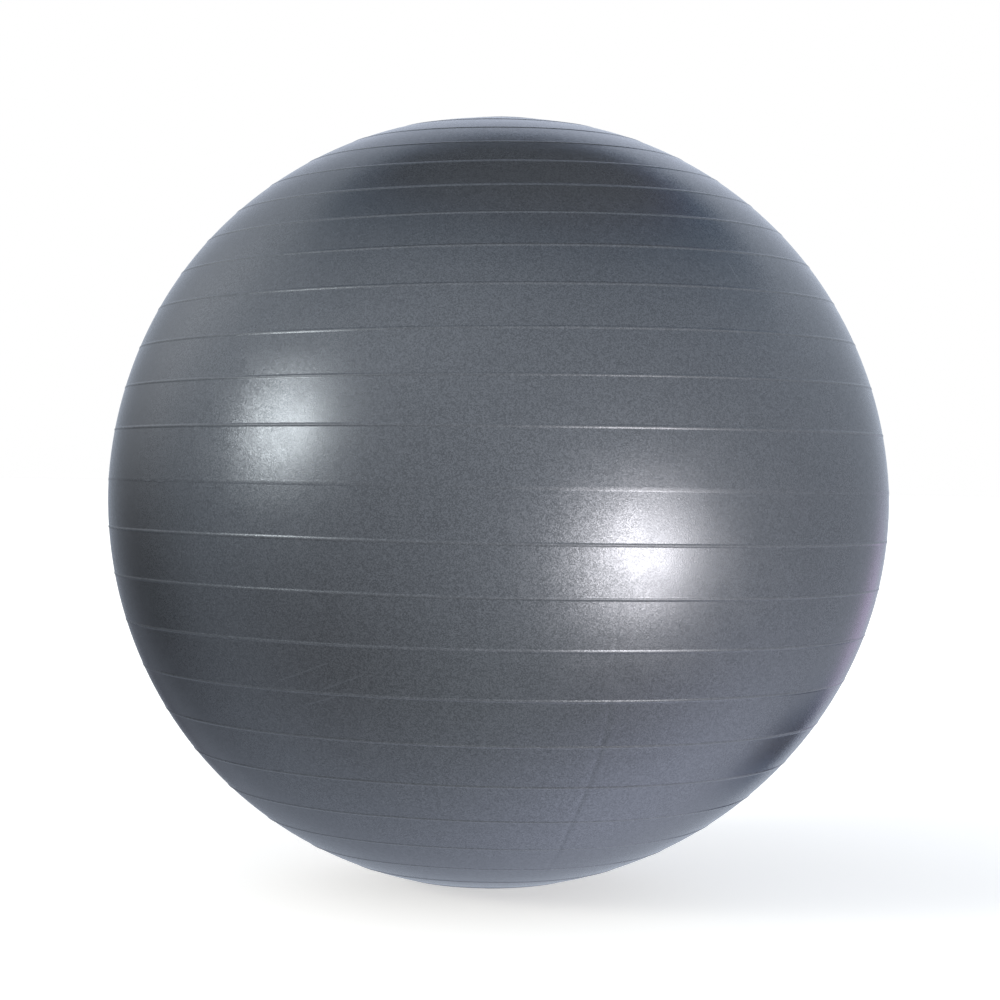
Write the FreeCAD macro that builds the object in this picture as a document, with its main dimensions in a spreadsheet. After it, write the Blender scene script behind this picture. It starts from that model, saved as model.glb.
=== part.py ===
import FreeCAD, Part
import os
import Sketcher
from FreeCAD import Vector

# Anti-burst exercise ball, inflated to 650 mm across and standing on its own flattened contact patch.
# +Z is the axis of the moulded rings, up through the air valve at the crown. The origin is the centre
# of the contact patch on the floor. All sizes are in millimetres.

DIMENSIONS = {
    # Skin: two moulded halves, each a spherical cap, that meet at the parting line
    "ball_radius": 325,         # lower half's sphere, the equator of the ball
    "contact_sag": 1.6,         # how far the lower pole is pressed flat by the floor
    "parting_height": 334.5,    # parting line above the floor
    "crown_height": 643.5,      # where the upper sphere would close above the floor
    "wall": 0.8,                # thickness of the vinyl
    "land_radius": 19,          # flat ring moulded round the valve
    # Grip ribs: moulded at one even pitch per half, the last one a pitch away from the pole. Inflation
    # stretches the vinyl unevenly and lifts the ribs, most of all a quarter of the way to the crown.
    "bands_per_half": 13,
    "upper_lift": 4.7,
    "lower_lift": 2.1,
    "rib_width": 2.6,
    "rib_height": 0.35,
    "flash_width": 1.2,         # ridge left by the mould at the parting line
    "flash_height": 0.15,
    # Valve seat: a moulded insert fused into the crown
    "hub_radius": 12,
    "recess_radius": 8.9,       # round the plug's head
    "recess_depth": 1.6,
    "recess_chamfer": 0.4,
    "bore_radius": 4.5,
    "flange_radius": 18,        # welded under the land
    "flange_edge": 0.6,
    "flange_depth": 1.5,        # thickness where the flange meets the neck
    "neck_radius": 7.2,
    "neck_end_radius": 6.4,
    "neck_depth": 17,           # end of the neck below the land
    "neck_fillet": 1.2,
    "notch_width": 4,           # finger and tool notch in the recess lip
    "notch_depth": 1.1,
    "notch_reach": 10.8,
    # Valve plug: a hollow barbed stopper
    "head_radius": 8.3,
    "head_rim": 1.3,            # thickness at the edge of the head
    "head_crown": 0.5,          # rise of the domed top above the rim
    "head_fillet": 0.4,
    "core_radius": 3.7,
    "barb_radius": 4.45,        # 0.05 inside the bore
    "barb_count": 5,
    "barb_pitch": 3.4,
    "barb_back": 0.5,           # steep side of a barb
    "barb_top": 5.0,            # first barb's steep side below the land
    "plug_length": 25,          # tip below the land
    "tip_radius": 2.9,
    "nose_length": 2.2,
    "hollow_radius": 1.9,
    "hollow_top": 3.6,          # roof of the hollow below the land
}

# Formulas that several features share
LOWER_CENTRE = "(dims.ball_radius - dims.contact_sag)"
PATCH_RADIUS = f"sqrt(dims.ball_radius ^ 2 - {LOWER_CENTRE} ^ 2)"
PARTING_RADIUS = f"sqrt(dims.ball_radius ^ 2 - (dims.parting_height - {LOWER_CENTRE}) ^ 2)"
UPPER_RISE = "(dims.crown_height - dims.parting_height)"
UPPER_RADIUS = f"(({PARTING_RADIUS} ^ 2 + {UPPER_RISE} ^ 2) / (2 * {UPPER_RISE}))"
UPPER_CENTRE = f"(dims.crown_height - {UPPER_RADIUS})"
LAND_HEIGHT = f"({UPPER_CENTRE} + sqrt({UPPER_RADIUS} ^ 2 - dims.land_radius ^ 2))"

doc = FreeCAD.newDocument("exercise_ball")


def make_sheet():
    """Spreadsheet that drives every feature."""
    sheet = doc.addObject("Spreadsheet::Sheet", "dims")
    for row, (alias, value) in enumerate(DIMENSIONS.items(), start=1):
        sheet.set(f"A{row}", str(value))
        sheet.setAlias(f"A{row}", alias)
    doc.recompute()
    return sheet


def number(formula):
    """Value of a formula as a plain number, to start the sketch's geometry at the right place."""
    value = sheet.evalExpression(formula)
    return getattr(value, "Value", value)


def make_body(label):
    body = doc.addObject("PartDesign::Body", label)
    body.Label = label
    return body


def make_sketch(body, name, plane_role="XZ_Plane"):
    """Empty sketch on one of the body's own origin planes."""
    plane = next(item for item in body.Origin.OriginFeatures if item.Role == plane_role)
    sketch = body.newObject("Sketcher::SketchObject", name)
    sketch.AttachmentSupport = [(plane, "")]
    sketch.MapMode = "FlatFace"
    return sketch


def arc_between(start, end, radius, turn):
    """Shorter arc from start to end that bends left (turn 1) or right (turn -1)."""
    chord = end - start
    left = Vector(-chord.y, chord.x, 0).normalize() * turn
    centre = (start + end) * 0.5 + left * (radius ** 2 - chord.Length ** 2 / 4) ** 0.5
    first, last = (start, end) if turn > 0 else (end, start)
    circle = Part.Circle(centre, Vector(0, 0, 1), radius)
    return Part.ArcOfCircle(circle, circle.parameter(first), circle.parameter(last))


def add_outline(sketch, name, corners):
    """Closed outline through corners, each (x, y) or (x, y, arc radius, turn of the arc to the next)."""
    points = [Vector(number(corner[0]), number(corner[1]), 0) for corner in corners]
    edges = []
    for corner, start, end in zip(corners, points, points[1:] + points[:1]):
        if len(corner) == 2:
            edges.append((sketch.addGeometry(Part.LineSegment(start, end), False), 1, 2))
        else:
            arc = arc_between(start, end, number(corner[2]), corner[3])
            ends = (1, 2) if corner[3] > 0 else (2, 1)
            edges.append((sketch.addGeometry(arc, False), *ends))

    joints = []
    sizes = []
    for index, corner in enumerate(corners):
        edge, start, _ = edges[index]
        previous, _, end = edges[index - 1]
        joints.append(Sketcher.Constraint("Coincident", previous, end, edge, start))
        for axis, kind, formula in ((-2, "DistanceX", corner[0]), (-1, "DistanceY", corner[1])):
            if formula == "0":
                joints.append(Sketcher.Constraint("PointOnObject", edge, start, axis))
            else:
                size = Sketcher.Constraint(kind, -1, 1, edge, start, number(formula))
                sizes.append((f"{name}_{kind[-1].lower()}{index}", formula, size))
        if len(corner) == 4:
            size = Sketcher.Constraint("Radius", edge, number(corner[2]))
            sizes.append((f"{name}_r{index}", corner[2], size))
    sketch.addConstraint(joints)
    for index, (label, formula, _) in zip(sketch.addConstraint([size[2] for size in sizes]), sizes):
        sketch.renameConstraint(index, label)
        sketch.setExpression(f"Constraints.{label}", formula)


def revolve(body, name, sketch):
    """Full turn of the sketch about the body's Z axis."""
    turned = body.newObject("PartDesign::Revolution", name)
    turned.Profile = sketch
    turned.ReferenceAxis = (sketch, ["V_Axis"])
    turned.Angle = 360
    sketch.Visibility = False
    doc.recompute()
    return turned


def ring_edges(feature, radius, height):
    """Names of the feature's circular edges with this radius at this height."""
    found = []
    for index, edge in enumerate(feature.Shape.Edges, start=1):
        box = edge.BoundBox
        level = abs(box.ZMin - height) < 0.01 and abs(box.ZMax - height) < 0.01
        if level and hasattr(edge.Curve, "Radius") and abs(edge.Curve.Radius - radius) < 0.01:
            found.append(f"Edge{index}")
    return found


def dress(body, kind, name, size_property, alias, feature, rings):
    """Fillet or chamfer on the feature's ring edges, given as (radius formula, height formula)."""
    edges = [edge for radius, height in rings for edge in ring_edges(feature, number(radius), number(height))]
    dressed = body.newObject(kind, name)
    dressed.Base = (feature, edges)
    dressed.setExpression(size_property, f"dims.{alias}")
    doc.recompute()
    return dressed


def on_sphere(centre, radius, angle):
    """Corner on the outside of a half, at an angle above the half's own centre."""
    return f"{radius} * cos({angle})", f"{centre} + {radius} * sin({angle})"


def arc_radius(width, rise):
    """Radius of an arc that is this wide and stands this proud."""
    return f"((({width}) / 2) ^ 2 + ({rise}) ^ 2) / (2 * ({rise}))"


def rib_corners(centre, radius, angle):
    """The two corners of one grip rib, low then high: a round welt, then the sphere up to the next rib."""
    half_angle = f"asin(dims.rib_width / 2 / {radius})"
    low = on_sphere(centre, radius, f"{angle} - {half_angle}")
    high = on_sphere(centre, radius, f"{angle} + {half_angle}")
    return [(*low, arc_radius("dims.rib_width", "dims.rib_height"), 1), (*high, radius, 1)]


def half_corners(centre, radius, lift, side):
    """All ribs of a half from the bottom up. Side is 1 for the upper half and -1 for the lower."""
    parting_angle = f"asin((dims.parting_height - {centre}) / {radius})"
    pitch = f"((90 deg - {side} * {parting_angle}) / dims.bands_per_half)"
    corners = []
    for count in range(1, DIMENSIONS["bands_per_half"])[::side]:
        lifted = f"asin({lift} * sin({count} * 360 deg / dims.bands_per_half) / {radius})"
        corners += rib_corners(centre, radius, f"({parting_angle} + {side * count} * {pitch} + {lifted})")
    return corners


def parting_corners():
    """The ridge that the mould leaves where the halves meet."""
    half_angle = "asin(dims.flash_width / 2 / dims.ball_radius)"
    lower_angle = f"asin((dims.parting_height - {LOWER_CENTRE}) / dims.ball_radius)"
    upper_angle = f"asin((dims.parting_height - {UPPER_CENTRE}) / {UPPER_RADIUS})"
    low = on_sphere(LOWER_CENTRE, "dims.ball_radius", f"{lower_angle} - {half_angle}")
    high = on_sphere(UPPER_CENTRE, UPPER_RADIUS, f"{upper_angle} + {half_angle}")
    return [(*low, arc_radius("dims.flash_width", "dims.flash_height"), 1), (*high, UPPER_RADIUS, 1)]


def skin_outline():
    """Section of the skin: up the ribbed outside from the contact patch to the valve, and down the inside."""
    inner_lower = "(dims.ball_radius - dims.wall)"
    inner_upper = f"({UPPER_RADIUS} - dims.wall)"
    inner_patch = f"sqrt({inner_lower} ^ 2 - ({LOWER_CENTRE} - dims.wall) ^ 2)"
    inner_land = f"sqrt({inner_upper} ^ 2 - ({LAND_HEIGHT} - dims.wall - {UPPER_CENTRE}) ^ 2)"
    return [
        ("0", "0"),
        (PATCH_RADIUS, "0", "dims.ball_radius", 1),
        *half_corners(LOWER_CENTRE, "dims.ball_radius", "dims.lower_lift", -1),
        *parting_corners(),
        *half_corners(UPPER_CENTRE, UPPER_RADIUS, "dims.upper_lift", 1),
        ("dims.land_radius", LAND_HEIGHT),
        ("dims.hub_radius", LAND_HEIGHT),
        ("dims.hub_radius", f"{LAND_HEIGHT} - dims.wall"),
        (inner_land, f"{LAND_HEIGHT} - dims.wall", inner_upper, -1),
        (f"{PARTING_RADIUS} - dims.wall", "dims.parting_height", inner_lower, -1),
        (inner_patch, "dims.wall"),
        ("0", "dims.wall"),
    ]


def make_ball_shell():
    """Rotationally moulded skin with its grip ribs and the parting ridge, all one wall."""
    body = make_body("ball_shell")
    section = make_sketch(body, "skin_section")
    add_outline(section, "skin", skin_outline())
    revolve(body, "skin", section)
    return body


def make_valve_seat():
    """Insert fused into the crown: hub in the skin, flange under it, and a neck that grips the plug."""
    body = make_body("valve_seat")
    flange_root = "-dims.wall - dims.flange_depth"
    section = make_sketch(body, "seat_section")
    add_outline(section, "seat", [
        ("dims.bore_radius", "-dims.neck_depth"),
        ("dims.neck_end_radius", "-dims.neck_depth"),
        ("dims.neck_radius", flange_root),
        ("dims.flange_radius", "-dims.wall - dims.flange_edge"),
        ("dims.flange_radius", "-dims.wall"),
        ("dims.hub_radius", "-dims.wall"),
        ("dims.hub_radius", "0"),
        ("dims.recess_radius", "0"),
        ("dims.recess_radius", "-dims.recess_depth"),
        ("dims.bore_radius", "-dims.recess_depth"),
    ])
    turned = revolve(body, "seat", section)
    neck = dress(body, "PartDesign::Fillet", "neck_fillet", "Radius", "neck_fillet", turned,
                 [("dims.neck_radius", flange_root)])
    mouth = dress(body, "PartDesign::Chamfer", "recess_chamfer", "Size", "recess_chamfer", neck,
                  [("dims.bore_radius", "-dims.recess_depth"), ("dims.bore_radius", "-dims.neck_depth")])

    notch_section = make_sketch(body, "notch_section", "XY_Plane")
    half_width = "dims.notch_width / 2"
    add_outline(notch_section, "notch", [
        ("dims.bore_radius + dims.recess_chamfer", f"-{half_width}"),
        ("dims.notch_reach", f"-{half_width}"),
        ("dims.notch_reach", half_width),
        ("dims.bore_radius + dims.recess_chamfer", half_width),
    ])
    notch = body.newObject("PartDesign::Pocket", "notch")
    notch.Profile = notch_section
    notch.setExpression("Length", "dims.notch_depth")
    doc.recompute()
    if notch.Shape.Volume >= mouth.Shape.Volume:
        raise RuntimeError("the notch cuts nothing")
    body.setExpression("Placement.Base.z", LAND_HEIGHT)
    return body


def make_valve_plug():
    """Stopper: a domed head that fills the recess, and a hollow shank with ring barbs."""
    body = make_body("valve_plug")
    rim_top = "dims.head_rim - dims.recess_depth"
    dome_radius = arc_radius("2 * dims.head_radius", "dims.head_crown")
    barbs = []
    for count in range(DIMENSIONS["barb_count"] - 1, -1, -1):
        back = f"-dims.barb_top - {count} * dims.barb_pitch"
        barbs += [
            ("dims.core_radius", f"{back} - dims.barb_pitch + dims.barb_back"),
            ("dims.barb_radius", back),
            ("dims.core_radius", f"{back} + dims.barb_back / 2"),
        ]
    section = make_sketch(body, "plug_section")
    add_outline(section, "plug", [
        ("0", "-dims.hollow_top"),
        ("dims.hollow_radius", "-dims.hollow_top"),
        ("dims.hollow_radius", "-dims.plug_length"),
        ("dims.tip_radius", "-dims.plug_length"),
        ("dims.core_radius", "-dims.plug_length + dims.nose_length"),
        *barbs,
        ("dims.core_radius", "-dims.recess_depth"),
        ("dims.head_radius", "-dims.recess_depth"),
        ("dims.head_radius", rim_top, dome_radius, 1),
        ("0", f"{rim_top} + dims.head_crown"),
    ])
    turned = revolve(body, "plug", section)
    dress(body, "PartDesign::Fillet", "head_fillet", "Radius", "head_fillet", turned,
          [("dims.head_radius", rim_top), ("dims.head_radius", "-dims.recess_depth")])
    body.setExpression("Placement.Base.z", LAND_HEIGHT)
    return body


def check_document(pieces):
    """Stop if any object failed or any piece isn't one valid solid."""
    for item in doc.Objects:
        if "Invalid" in item.State or "Error" in item.State:
            raise RuntimeError(f"{item.Label} failed: {item.State}")
    for piece in pieces:
        if piece.Shape.isNull() or not piece.Shape.isValid() or len(piece.Shape.Solids) != 1:
            raise RuntimeError(f"{piece.Label} isn't one valid solid")


sheet = make_sheet()
pieces = [make_ball_shell(), make_valve_seat(), make_valve_plug()]
doc.recompute()
check_document(pieces)
os.makedirs("parts", exist_ok=True)
for piece in pieces:
    piece.Shape.exportStep(f"parts/{piece.Label}.step")
    print(piece.Label, round(piece.Shape.Volume), "mm3")
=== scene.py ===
import math

import bpy
import numpy as np
from mathutils import Matrix, Vector


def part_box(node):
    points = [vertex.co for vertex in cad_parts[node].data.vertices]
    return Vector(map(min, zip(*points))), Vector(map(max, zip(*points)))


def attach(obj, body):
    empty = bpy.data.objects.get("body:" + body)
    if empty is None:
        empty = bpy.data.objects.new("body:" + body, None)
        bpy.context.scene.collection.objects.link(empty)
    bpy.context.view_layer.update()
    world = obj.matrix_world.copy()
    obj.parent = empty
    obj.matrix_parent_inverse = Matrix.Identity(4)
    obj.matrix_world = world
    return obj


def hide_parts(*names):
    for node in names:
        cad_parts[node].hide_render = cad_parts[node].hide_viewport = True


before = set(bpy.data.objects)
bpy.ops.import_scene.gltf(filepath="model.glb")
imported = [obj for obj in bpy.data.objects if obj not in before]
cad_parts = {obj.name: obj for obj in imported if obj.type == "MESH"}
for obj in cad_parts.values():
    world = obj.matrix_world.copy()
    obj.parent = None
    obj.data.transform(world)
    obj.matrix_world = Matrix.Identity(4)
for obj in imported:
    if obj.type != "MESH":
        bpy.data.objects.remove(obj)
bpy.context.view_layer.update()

# Anti-burst exercise ball on a pale floor. Metres, +Z up, origin at the centre of the contact patch.
# Angles on the ball: azimuth 0 faces the camera along -Y and grows towards +X; elevation grows upwards.

MM = 0.001

# Skin, as in the CAD part
BALL_RADIUS = 325 * MM
CONTACT_SAG = 1.6 * MM
PARTING_HEIGHT = 334.5 * MM
CROWN_HEIGHT = 643.5 * MM
LAND_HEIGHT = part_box("ball_shell")[1].z
LAND_RADIUS = 19 * MM
HUB_RADIUS = 12 * MM
WALL = 0.8 * MM
BANDS_PER_HALF = 13
RIB_WIDTH = 2.6 * MM
RIB_HEIGHT = 0.35 * MM
FLASH_WIDTH = 1.2 * MM
FLASH_HEIGHT = 0.15 * MM
UPPER_LIFT = 4.7 * MM           # the most that a rib leaves its even place, in the upper half
LOWER_LIFT = 2.1 * MM           # and in the lower half

# Uneven stretch of this ball: how far the skin has slid along its meridians
UPPER_SIDE_SLIDE = 10.3 * MM    # towards the crown on the +X side, away from it on the -X side
LOWER_SIDE_SLIDE = 1.9 * MM
LOWER_SLIDE = 2.0 * MM          # up, most at 45 degrees below the middle
UPPER_SLIDE = (                 # amount, middle and spread in degrees above the middle of the ball
    (4.5 * MM, 10, 9),          # up in the first band above the parting line
    (-9.5 * MM, 66, 26),        # down nearer the crown
)
SLIDE_WANDER = 0.4 * MM         # random part

# Mesh density
COLUMNS = 312
RIB_STEPS = (-1, -0.55, 0, 0.55, 1)          # rows across a rib, in half-widths
FLASH_STEPS = (0, 1)
CREVICE = 0.45 * MM                          # sharp foot on both sides of a rib
BAND_STEPS = (0, 0.25, 0.5, 0.75, 1)
INNER_ROWS = 12
PATCH_ROWS = (0.25, 0.5, 0.75)               # rings on the contact patch, as shares of its radius
INNER_PATCH_ROW = 0.4                        # the same inside the skin

# Rings on the valve's land: radius in mm, and rise as a share of the weld's height
WELD_HEIGHT = 0.25 * MM
WELD_ROWS = ((17.2, 0), (16.6, 0.6), (16, 1), (15.4, 0.6), (14.8, 0), (12.6, 0))
HUB_DIP = 0.1 * MM

# Uneven inflation: azimuth and elevation in degrees, swelling, spread in degrees
SWELLS = (
    (-90, 45, 2.0 * MM, 28),
    (-90, -45, 2.0 * MM, 28),
    (90, 45, 1.0 * MM, 28),
    (90, -57, -3.2 * MM, 24),
    (90, -74, -1.6 * MM, 14),
    (0, 88, -2.0 * MM, 12),
    (0, -88, -1.6 * MM, 14),
    (180, 20, 1.2 * MM, 35),
    (200, -40, -1.0 * MM, 28),
)
UNEVENNESS = 0.22 * MM                       # random part of the swelling

# Folds left by packing: azimuth, lowest and highest elevation in degrees, depth, half-width
FOLDS = (
    (16.2, -66, -8, 0.26 * MM, 1.8 * MM),
    (106, -52, 18, 0.10 * MM, 1.6 * MM),
    (197, -60, -12, 0.14 * MM, 1.6 * MM),
    (287, 12, 58, 0.10 * MM, 1.6 * MM),
)
FOLD_LIP = 0.45                              # height of the lip beside a fold, as a share of its depth
FOLD_LIP_PLACE = 2.2                         # and how far to its side, in half-widths
FOLD_WANDER = math.radians(0.5)
FOLD_COLUMNS = 8
FOLD_SPREAD = math.radians(1.4)              # how far the extra columns reach to each side of a fold
LEAST_TURN = math.radians(0.12)              # columns closer together than this are merged
FADE_START, FADE_END = 4.5, 9.5              # degrees from a pole between which the unevenness comes in


# ---------------------------------------------------------------- the two halves of the mould

LOWER_CENTRE = BALL_RADIUS - CONTACT_SAG
PARTING_RADIUS = math.sqrt(BALL_RADIUS ** 2 - (PARTING_HEIGHT - LOWER_CENTRE) ** 2)
UPPER_RISE = CROWN_HEIGHT - PARTING_HEIGHT
UPPER_RADIUS = (PARTING_RADIUS ** 2 + UPPER_RISE ** 2) / (2 * UPPER_RISE)
UPPER_CENTRE = CROWN_HEIGHT - UPPER_RADIUS
PATCH_RADIUS = math.sqrt(BALL_RADIUS ** 2 - LOWER_CENTRE ** 2)
MIDDLE = Vector((0, 0, LOWER_CENTRE))

HALVES = {
    "lower": (LOWER_CENTRE, BALL_RADIUS, LOWER_LIFT, -1),
    "upper": (UPPER_CENTRE, UPPER_RADIUS, UPPER_LIFT, 1),
}


def parting_angle(half):
    """Elevation of the parting line above a half's own centre."""
    centre, radius, _, _ = HALVES[half]
    return math.asin((PARTING_HEIGHT - centre) / radius)


def rib_angles(half):
    """Elevations of a half's ribs above the half's own centre, from the parting line outwards."""
    _, radius, lift, side = HALVES[half]
    start = parting_angle(half)
    pitch = (math.pi / 2 - side * start) / BANDS_PER_HALF
    turn = 2 * math.pi / BANDS_PER_HALF
    return [start + side * n * pitch + lift * math.sin(n * turn) / radius for n in range(1, BANDS_PER_HALF)]


def ridge_rise(offset, width, height):
    """Height of a round welt at a distance from its middle."""
    radius = ((width / 2) ** 2 + height ** 2) / (2 * height)
    return math.sqrt(radius ** 2 - offset ** 2) - (radius - height)


def meridian_rows():
    """Rows of the outer skin from the contact patch to the valve land: (half, elevation, rise, rib share)."""
    edge = {
        "lower": -math.acos(PATCH_RADIUS / BALL_RADIUS),
        "upper": math.acos(LAND_RADIUS / UPPER_RADIUS),
    }
    rows = []
    for half, side in (("lower", -1), ("upper", 1)):
        radius = HALVES[half][1]
        ridges = [(parting_angle(half), FLASH_WIDTH, FLASH_HEIGHT)]
        ridges += [(angle, RIB_WIDTH, RIB_HEIGHT) for angle in rib_angles(half)]
        outward = []
        for index, (angle, width, height) in enumerate(ridges):
            steps = RIB_STEPS if index else FLASH_STEPS
            for step in steps:
                offset = step * width / 2
                rise = ridge_rise(offset, width, height)
                outward.append((angle + side * offset / radius, rise, rise / RIB_HEIGHT))
            start = angle + side * (width / 2 + CREVICE) / radius
            if index + 1 < len(ridges):
                end = ridges[index + 1][0] - side * (RIB_WIDTH / 2 + CREVICE) / radius
            else:
                end = edge[half]
            outward += [(start + share * (end - start), 0.0, 0.0) for share in BAND_STEPS]
        rows.append([(half, *row) for row in outward])
    lower, upper = rows
    return lower[:0:-1] + upper


# ---------------------------------------------------------------- unevenness of the inflated skin

def unit(azimuth, elevation):
    """Unit vectors for arrays of angles in radians."""
    return np.stack([
        np.sin(azimuth) * np.cos(elevation),
        -np.cos(azimuth) * np.cos(elevation),
        np.sin(elevation) + 0 * azimuth,
    ], -1)


def ripple(directions, seed, count, frequency):
    """Smooth random field from a few plane waves, about -1 to 1."""
    rng = np.random.default_rng(seed)
    waves = rng.normal(size=(count, 3)) * frequency
    phases = rng.uniform(0, 2 * math.pi, count)
    return np.sin(directions @ waves.T + phases).sum(-1) / math.sqrt(count)


def meridian_slide(azimuth, elevation):
    """How far the skin has slid upwards along its meridian at a place."""
    directions = unit(azimuth, elevation)
    above = elevation > parting_angle("upper")
    side = np.where(above, UPPER_SIDE_SLIDE, LOWER_SIDE_SLIDE) * np.sin(azimuth) * np.sin(2 * elevation)
    from_equator = np.degrees(np.abs(elevation))
    upper = 0.0
    for amount, middle, spread in UPPER_SLIDE:
        upper = upper + amount * np.exp(-((from_equator - middle) / spread) ** 2)
    lower = LOWER_SLIDE * np.sin(2 * np.abs(elevation))
    wander = SLIDE_WANDER * ripple(directions, seed=3, count=10, frequency=2.2) * np.cos(elevation) ** 2
    return side + wander + np.where(above, upper, lower)


def swelling(azimuth, elevation):
    """Low, wide departures from round, fading out at the contact patch and the valve."""
    directions = unit(azimuth, elevation)
    total = UNEVENNESS * ripple(directions, seed=11, count=12, frequency=5.5)
    for swell_azimuth, swell_elevation, amount, spread in SWELLS:
        towards = unit(np.radians(swell_azimuth), np.radians(swell_elevation))
        angle = np.arccos(np.clip(directions @ towards, -1, 1))
        total = total + amount * np.exp(-(angle / math.radians(spread)) ** 2)
    from_pole = np.degrees(math.pi / 2 - np.abs(elevation))
    fade = np.clip((from_pole - FADE_START) / (FADE_END - FADE_START), 0, 1)
    return total * fade * fade * (3 - 2 * fade)


def fold_relief(azimuth, elevation):
    """A shallow valley with a low lip on one side, wandering down a meridian."""
    total = np.zeros(np.broadcast(azimuth, elevation).shape)
    for index, (fold, low, high, depth, half_width) in enumerate(FOLDS):
        wander = FOLD_WANDER * np.sin(elevation * 9 + index)
        turn = (azimuth - math.radians(fold) - wander + math.pi) % (2 * math.pi) - math.pi
        across = turn * BALL_RADIUS * np.cos(elevation) / half_width
        along = (np.degrees(elevation) - low) / (high - low)
        # fades in quickly at its low end and out slowly at its high end
        strength = np.clip(along * 6, 0, 1) * np.clip((1 - along) * 2.5, 0, 1)
        valley = np.exp(-across ** 2) - FOLD_LIP * np.exp(-(across - FOLD_LIP_PLACE) ** 2)
        total -= depth * strength * valley
    return total


def column_azimuths():
    """Even columns, with extra ones along each fold."""
    azimuths = list(np.arange(COLUMNS) * 2 * math.pi / COLUMNS)
    for fold in FOLDS:
        azimuths += list(math.radians(fold[0]) + np.linspace(-FOLD_SPREAD, FOLD_SPREAD, FOLD_COLUMNS))
    azimuths = np.sort(np.array(azimuths) % (2 * math.pi))
    keep = np.diff(azimuths, append=azimuths[0] + 2 * math.pi) > LEAST_TURN
    return azimuths[keep]


# ---------------------------------------------------------------- the skin's mesh

def skin_row(half, elevation, rise, azimuths, inset=0.0):
    """One ring of points on the deformed skin."""
    centre, radius, _, _ = HALVES[half]
    shifted = elevation + meridian_slide(azimuths, elevation + 0 * azimuths) / radius
    relief = fold_relief(azimuths, shifted) if inset == 0 else 0
    reach = radius - inset + rise + relief + swelling(azimuths, shifted)
    points = unit(azimuths, shifted) * reach[:, None]
    points[:, 2] += centre
    return points


def flat_row(radius, height, azimuths):
    """One level ring of points round the axis."""
    return np.stack([radius * np.sin(azimuths), -radius * np.cos(azimuths), height + 0 * azimuths], -1)


def skin_rows(azimuths):
    """Rings over the outside, through the valve's hole and back down the inside: (points, rib share)."""
    rows = [(flat_row(share * PATCH_RADIUS, 0, azimuths), 0.0) for share in PATCH_ROWS]
    for half, elevation, rise, share in meridian_rows():
        rows.append((skin_row(half, elevation, rise, azimuths), share))
    for radius, rise in WELD_ROWS:
        rows.append((flat_row(radius * MM, LAND_HEIGHT + rise * WELD_HEIGHT, azimuths), 0.0))
    for depth in (HUB_DIP, WALL):
        rows.append((flat_row(HUB_RADIUS, LAND_HEIGHT - depth, azimuths), 0.0))
    land_edge = math.acos(LAND_RADIUS / UPPER_RADIUS)
    patch_edge = math.acos(PATCH_RADIUS / BALL_RADIUS)
    for elevation in np.linspace(land_edge, -patch_edge, INNER_ROWS):
        half = "upper" if elevation > parting_angle("upper") else "lower"
        inner = skin_row(half, elevation, 0.0, azimuths, WALL)
        inner[:, 2] = np.maximum(inner[:, 2], WALL)
        rows.append((inner, 0.0))
    rows.append((flat_row(INNER_PATCH_ROW * PATCH_RADIUS, WALL, azimuths), 0.0))
    return rows


def skin_faces(row_count, count):
    """Quads between neighbouring rings, and a fan to a middle point at either end."""
    faces = []
    for row in range(row_count - 1):
        low = row * count
        high = low + count
        for column in range(count):
            beside = (column + 1) % count
            faces.append((low + column, low + beside, high + beside, high + column))
    last = row_count * count
    for column in range(count):
        beside = (column + 1) % count
        faces.append((beside, column, last))
        faces.append((last - count + column, last - count + beside, last + 1))
    return faces


def make_skin():
    """The closed, two-sided skin, with each point's share of a rib stored for the material."""
    azimuths = column_azimuths()
    count = len(azimuths)
    rows = skin_rows(azimuths)
    grid = np.concatenate([points for points, _ in rows])
    grid[:, 2] = np.maximum(grid[:, 2], 0)
    middles = [[0, 0, 0], [0, 0, WALL]]
    points = np.concatenate([grid, middles])
    faces = skin_faces(len(rows), count)

    mesh = bpy.data.meshes.new("ball_skin")
    mesh.from_pydata(points.tolist(), [], faces)
    mesh.polygons.foreach_set("use_smooth", [True] * len(faces))
    rib = mesh.attributes.new("rib", "FLOAT", "POINT")
    shares = np.repeat([share for _, share in rows], count)
    rib.data.foreach_set("value", np.append(shares, [0.0] * len(middles)))
    mesh.update()
    skin = bpy.data.objects.new("ball_skin", mesh)
    bpy.context.collection.objects.link(skin)
    return skin


# ---------------------------------------------------------------- materials
# Texture scales are in cells per metre.

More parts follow.
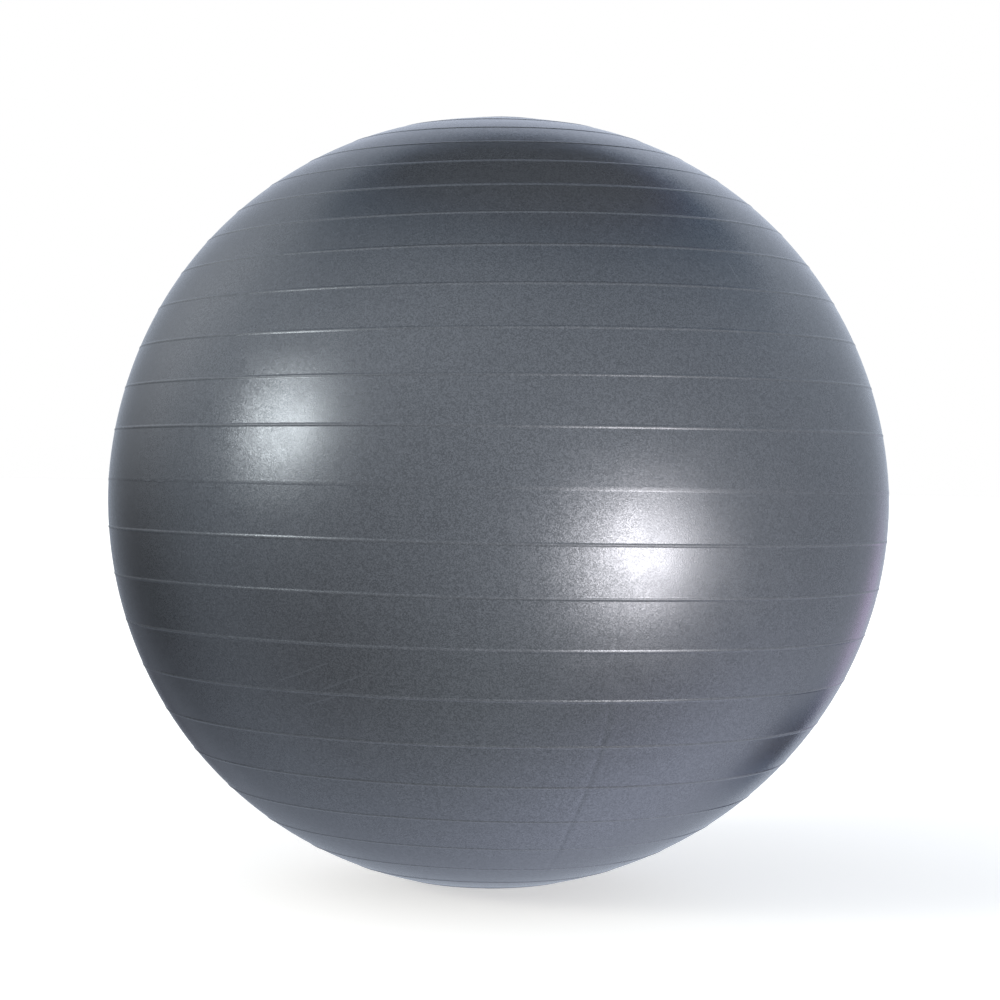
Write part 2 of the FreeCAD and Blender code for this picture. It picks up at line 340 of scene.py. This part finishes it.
class Nodes:
    """A material's node tree with short calls for the nodes used here."""

    def __init__(self, name):
        self.material = bpy.data.materials.new(name)
        self.material.use_nodes = True
        self.tree = self.material.node_tree
        self.shader = self.tree.nodes["Principled BSDF"]
        self.place = self.tree.nodes.new("ShaderNodeTexCoord").outputs["Object"]

    def node(self, kind, inputs=None, **settings):
        made = self.tree.nodes.new(kind)
        for key, value in settings.items():
            setattr(made, key, value)
        for key, value in (inputs or {}).items():
            self.feed(made.inputs[key], value)
        return made

    def feed(self, socket, value):
        if isinstance(value, bpy.types.NodeSocket):
            self.tree.links.new(value, socket)
        else:
            socket.default_value = value

    def noise(self, scale, detail=2.0, roughness=0.5):
        made = self.node("ShaderNodeTexNoise", {"Vector": self.place, "Scale": scale, "Detail": detail,
                                                "Roughness": roughness})
        return made.outputs["Fac"]

    def flakes(self, scale):
        """One random colour for each grain of a packed crowd of grains."""
        made = self.node("ShaderNodeTexVoronoi", {"Vector": self.place, "Scale": scale})
        return made.outputs["Color"]

    def tilt(self, colour, amount):
        """The surface's normal, turned a little in each grain by its random colour."""
        facing = self.node("ShaderNodeNewGeometry").outputs["Normal"]
        centred = self.vector("SUBTRACT", {0: colour, 1: (0.5, 0.5, 0.5)})
        turn = self.vector("SCALE", {0: centred, "Scale": amount})
        return self.vector("NORMALIZE", {0: self.vector("ADD", {0: facing, 1: turn})})

    def vector(self, operation, inputs):
        return self.node("ShaderNodeVectorMath", inputs, operation=operation).outputs[0]

    def dot(self, first, second):
        made = self.node("ShaderNodeVectorMath", {0: first, 1: second}, operation="DOT_PRODUCT")
        return made.outputs["Value"]

    def maths(self, operation, first, second=0.0):
        return self.node("ShaderNodeMath", {0: first, 1: second}, operation=operation).outputs[0]

    def remap(self, value, low, high, out_low, out_high):
        made = self.node("ShaderNodeMapRange", {"Value": value, "From Min": low, "From Max": high,
                                                "To Min": out_low, "To Max": out_high})
        return made.outputs["Result"]

    def blend(self, share, first, second):
        made = self.node("ShaderNodeMix", data_type="RGBA")
        self.feed(made.inputs["Factor"], share)
        self.feed(made.inputs["A"], first)
        self.feed(made.inputs["B"], second)
        return made.outputs["Result"]

    def bump(self, height, distance, strength=1.0, under=None):
        made = self.node("ShaderNodeBump", {"Height": height, "Distance": distance, "Strength": strength})
        if under is not None:
            self.feed(made.inputs["Normal"], under)
        return made.outputs["Normal"]

    def set(self, **inputs):
        for key, value in inputs.items():
            self.feed(self.shader.inputs[key.replace("_", " ")], value)


# Hair-thin creases and scuffs on the parting line: start and end as (azimuth, elevation) in degrees
SCRATCHES = (
    ((-34, -24.6), (-21, -20.2)),
    ((-27, -25.6), (-17, -21.9)),
    ((-30, -27.8), (-22, -25.5)),
    ((39.5, 36), (40.5, 30.5)),
    ((32.6, 1.6), (35.6, 1.7)),
    ((-57, 2), (-54.4, 2)),
    ((-53.2, 1.9), (-50.8, 1.9)),
    ((128, -8), (141, -3)),
    ((230, 22), (238, 30)),
)


def scratch_height(nodes, start, end, half_width):
    """Relief of a hair-thin crease along a great circle between two places on the skin."""
    ends = [Vector(unit(np.radians(azimuth), np.radians(elevation))) for azimuth, elevation in (start, end)]
    across = ends[0].cross(ends[1]).normalized()
    middle = (ends[0] + ends[1]).normalized()
    along = across.cross(middle)
    half_length = (ends[1] - ends[0]).length / 2 * BALL_RADIUS
    place = nodes.vector("SUBTRACT", {0: nodes.place, 1: MIDDLE})
    ridge = nodes.remap(nodes.maths("ABSOLUTE", nodes.dot(place, across)), 0, half_width, 1, 0)
    run = nodes.maths("ABSOLUTE", nodes.dot(place, along))
    reach = nodes.remap(run, half_length * 0.5, half_length, 1, 0)
    near = nodes.maths("GREATER_THAN", nodes.dot(place, middle), 0.0)
    return nodes.maths("MULTIPLY", nodes.maths("MULTIPLY", ridge, reach), near)


SCRATCH_HALF_WIDTH = 1.0 * MM
SCRATCH_DEPTH = 0.12 * MM
GRAIN_DEPTH = 0.05 * MM
FLAKE_TILT = 0.05


def pearl_vinyl():
    """Pewter-grey pearl vinyl with fine grain, metallic flake and faint clouding; the ribs are rougher and
    less metallic, and painted darker as painted shade along each rib.
    """
    nodes = Nodes("pearl_vinyl")
    grain = nodes.noise(1300, 0.0)
    flakes = nodes.flakes(1450)
    flake = nodes.node("ShaderNodeSeparateColor", {"Color": flakes}).outputs["Red"]
    clouds = nodes.noise(9, 3, 0.6)
    smears = nodes.noise(38, 4, 0.65)
    rib = nodes.node("ShaderNodeAttribute", attribute_name="rib").outputs["Fac"]

    marks = 0.0
    for start, end in SCRATCHES:
        marks = nodes.maths("ADD", scratch_height(nodes, start, end, SCRATCH_HALF_WIDTH), marks)

    tone = nodes.remap(clouds, 0.3, 0.7, 0.42, 0.58)
    tone = nodes.maths("ADD", tone, nodes.maths("MULTIPLY", marks, 0.9))
    tone = nodes.maths("ADD", tone, nodes.remap(flake, 0, 1, -1, 1))
    # Rib crests are painted darker: painted shade for the dark line along each raised rib.
    tone = nodes.maths("SUBTRACT", tone, nodes.maths("MULTIPLY", rib, 0.45))
    colour = nodes.blend(tone, (0.078, 0.083, 0.091, 1), (0.122, 0.129, 0.141, 1))
    turned_away = nodes.node("ShaderNodeLayerWeight", {"Blend": 0.5}).outputs["Facing"]
    grazing = nodes.remap(turned_away, 0.35, 0.8, 1, 0.6)
    roughness = nodes.maths("MULTIPLY", nodes.remap(smears, 0.35, 0.65, 0.25, 0.31), grazing)
    roughness = nodes.maths("ADD", roughness, nodes.maths("MULTIPLY", rib, 0.10))
    metallic = nodes.maths("SUBTRACT", 0.55, nodes.maths("MULTIPLY", rib, 0.2))

    normal = nodes.bump(grain, GRAIN_DEPTH, 1.0, nodes.tilt(flakes, FLAKE_TILT))
    normal = nodes.bump(marks, SCRATCH_DEPTH, 0.8, normal)
    nodes.set(Base_Color=colour, Metallic=metallic, Roughness=roughness, Normal=normal, IOR=1.5,
              Specular_Tint=(0.62, 0.62, 0.63, 1))
    return nodes.material


def seat_vinyl():
    """Smooth moulded vinyl of the valve seat, a shade lighter than the skin."""
    nodes = Nodes("seat_vinyl")
    clouds = nodes.noise(160, 3, 0.6)
    colour = nodes.blend(clouds, (0.085, 0.09, 0.1, 1), (0.13, 0.135, 0.15, 1))
    nodes.set(Base_Color=colour, Roughness=nodes.remap(clouds, 0.3, 0.7, 0.38, 0.5),
              Normal=nodes.bump(nodes.noise(1500, 2), 0.03 * MM, 0.5))
    return nodes.material


def plug_polyethylene():
    """Waxy white polyethylene with handling marks."""
    nodes = Nodes("plug_polyethylene")
    clouds = nodes.noise(220, 4, 0.6)
    colour = nodes.blend(nodes.remap(clouds, 0.45, 0.75, 0, 1), (0.80, 0.80, 0.77, 1), (0.66, 0.65, 0.61, 1))
    nodes.set(Base_Color=colour, Roughness=nodes.remap(clouds, 0.3, 0.7, 0.34, 0.5),
              Subsurface_Weight=0.3, Subsurface_Scale=0.002,
              Normal=nodes.bump(nodes.noise(900, 3), 0.02 * MM, 0.5))
    return nodes.material


def dress_node(name, material):
    """Give a CAD node its material."""
    for material_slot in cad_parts[name].material_slots:
        material_slot.material = material


# ---------------------------------------------------------------- stage, light and camera

FLOOR_REACH = 60


def make_floor():
    """Pale seamless floor, left out of reflections and shadows so that only the studio lights the ball."""
    mesh = bpy.data.meshes.new("floor")
    corners = [(-FLOOR_REACH, -FLOOR_REACH, 0), (FLOOR_REACH, -FLOOR_REACH, 0),
               (FLOOR_REACH, FLOOR_REACH, 0), (-FLOOR_REACH, FLOOR_REACH, 0)]
    mesh.from_pydata(corners, [], [(0, 1, 2, 3)])
    floor = bpy.data.objects.new("floor", mesh)
    bpy.context.collection.objects.link(floor)
    nodes = Nodes("pale_floor")
    nodes.set(Base_Color=(0.9, 0.84, 0.77, 1), Roughness=0.9,
              Emission_Color=(1, 1, 1, 1), Emission_Strength=0.5)
    mesh.materials.append(nodes.material)
    floor.visible_diffuse = False
    floor.visible_glossy = False
    floor.visible_shadow = False


NEUTRAL = (1.0, 1.0, 1.0)
WARM = (1.07, 1.0, 0.98)
GREENISH = (0.97, 1.0, 0.96)
COOL = (0.88, 1.0, 1.14)
BLUISH = (0.95, 0.97, 1.25)
VIOLET = (1.2, 0.5, 1.3)

# Studio around the ball as smooth patches: azimuth, elevation, spread in degrees, strength, tint.
# Negative strengths are black cloths and unlit parts of the room.
AMBIENT = (0.645, COOL)
DARKEST = 0.03
SURROUNDINGS = {
    "left softbox": (-66, 18, 5.5, 25, GREENISH),
    "right softbox": (41, -13, 8, 26, WARM),
    "right softbox glow": (38, -6, 22, 0.7, NEUTRAL),
    "upper left": (-43, 43, 26, 0.5, NEUTRAL),
    "back upper left": (-119, 26, 16, 1.0, NEUTRAL),
    "back wall": (175, 29, 18, 0.4, BLUISH),
    "upper back right": (125, 40, 26, 0.6, COOL),
    "right wall": (116, 4, 30, -0.25, COOL),
    "camera side": (-34, 2, 20, -0.2, COOL),
    "dark left wall": (-126, -11, 20, -0.75, COOL),
    "dark floor left": (-62, -39, 20, -0.6, COOL),
    "dark floor front": (10, -66, 22, -0.4, BLUISH),
    "dark floor right": (59, -48, 14, -0.6, COOL),
    "floor right": (107, -60, 22, 1.0, BLUISH),
    "floor behind": (180, -64, 38, 0.2, BLUISH),
    "lamp stand": (139, -31, 4, -1.3, NEUTRAL),
    "lamp base": (149, -23, 4, -1.1, NEUTRAL),
    "dark corner left": (-160, -14, 7, -0.4, COOL),
    "violet panel": (149, -9, 5, 0.35, VIOLET),
}
DARK_CEILING = (165, 62, 24, -1.6, NEUTRAL)
CEILING_EDGE = (60, 79, 51, 4)      # the ceiling ends at this disc: azimuth, elevation, radius, softness


def make_world():
    """The studio that the ball reflects, as smooth lobes of light and dark; the camera itself sees white."""
    world = bpy.data.worlds.new("studio")
    bpy.context.scene.world = world
    world.use_nodes = True
    tree = world.node_tree
    tree.nodes.clear()

    def node(kind, inputs, **settings):
        made = tree.nodes.new(kind)
        for key, value in settings.items():
            setattr(made, key, value)
        for key, value in inputs.items():
            if isinstance(value, bpy.types.NodeSocket):
                tree.links.new(value, made.inputs[key])
            else:
                made.inputs[key].default_value = value
        return made

    direction = tree.nodes.new("ShaderNodeTexCoord").outputs["Generated"]
    direction = node("ShaderNodeVectorMath", {0: direction}, operation="NORMALIZE").outputs[0]

    def facing(azimuth, elevation):
        towards = Vector(unit(np.radians(azimuth), np.radians(elevation)))
        dot = node("ShaderNodeVectorMath", {0: direction, 1: towards}, operation="DOT_PRODUCT")
        return dot.outputs["Value"]

    def patch(azimuth, elevation, spread, strength, tint):
        sharpness = math.radians(spread) ** -2
        power = node("ShaderNodeMath", {0: facing(azimuth, elevation), 1: sharpness, 2: -sharpness},
                     operation="MULTIPLY_ADD")
        lobe = node("ShaderNodeMath", {0: power.outputs[0]}, operation="EXPONENT").outputs[0]
        return scaled([strength * channel for channel in tint], lobe)

    def scaled(colour, share):
        return node("ShaderNodeVectorMath", {0: colour, "Scale": share}, operation="SCALE").outputs[0]

    def added(first, second):
        return node("ShaderNodeVectorMath", {0: first, 1: second}, operation="ADD").outputs[0]

    light = [AMBIENT[0] * channel for channel in AMBIENT[1]]
    for settings in SURROUNDINGS.values():
        light = added(light, patch(*settings))
    azimuth, elevation, radius, softness = CEILING_EDGE
    under = node("ShaderNodeMapRange", {"Value": facing(azimuth, elevation),
                                        "From Min": math.cos(math.radians(radius + softness)),
                                        "From Max": math.cos(math.radians(radius - softness))},
                 interpolation_type="SMOOTHSTEP").outputs["Result"]
    light = added(light, scaled(patch(*DARK_CEILING), under))
    light = node("ShaderNodeVectorMath", {0: light, 1: [DARKEST] * 3}, operation="MAXIMUM").outputs[0]
    glow = node("ShaderNodeBackground", {"Color": light}).outputs[0]
    white = node("ShaderNodeBackground", {"Color": (1, 1, 1, 1)}).outputs[0]
    seen = tree.nodes.new("ShaderNodeLightPath").outputs["Is Camera Ray"]
    mixed = node("ShaderNodeMixShader", {0: seen, 1: glow, 2: white}).outputs[0]
    node("ShaderNodeOutputWorld", {"Surface": mixed})


CAMERA_DISTANCE = 5.8 * BALL_RADIUS
CAMERA_ELEVATION = 0.6              # degrees
CAMERA_ROLL = 1.1                   # degrees
CAMERA_LENS = 80.3
CAMERA_SHIFT = (0.0016, -0.0003)
FARTHEST_SEEN = 200


def make_camera():
    """Camera nearly level with the middle of the ball, slightly rolled."""
    data = bpy.data.cameras.new("camera")
    data.lens = CAMERA_LENS
    data.sensor_width = 36
    data.shift_x, data.shift_y = CAMERA_SHIFT
    data.clip_end = FARTHEST_SEEN
    camera = bpy.data.objects.new("camera", data)
    back = Vector(unit(0.0, math.radians(CAMERA_ELEVATION)))
    aim = back.to_track_quat("Z", "Y").to_matrix() @ Matrix.Rotation(math.radians(CAMERA_ROLL), 3, "Z")
    camera.location = MIDDLE + back * CAMERA_DISTANCE
    camera.rotation_euler = aim.to_euler()
    bpy.context.collection.objects.link(camera)
    bpy.context.scene.camera = camera


# ---------------------------------------------------------------- build

make_camera()
skin = make_skin()
skin.data.materials.append(pearl_vinyl())
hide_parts("ball_shell")
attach(skin, "ball")
dress_node("valve_seat", seat_vinyl())
dress_node("valve_plug", plug_polyethylene())

make_floor()
make_world()
bpy.context.scene.view_settings.view_transform = "Standard"
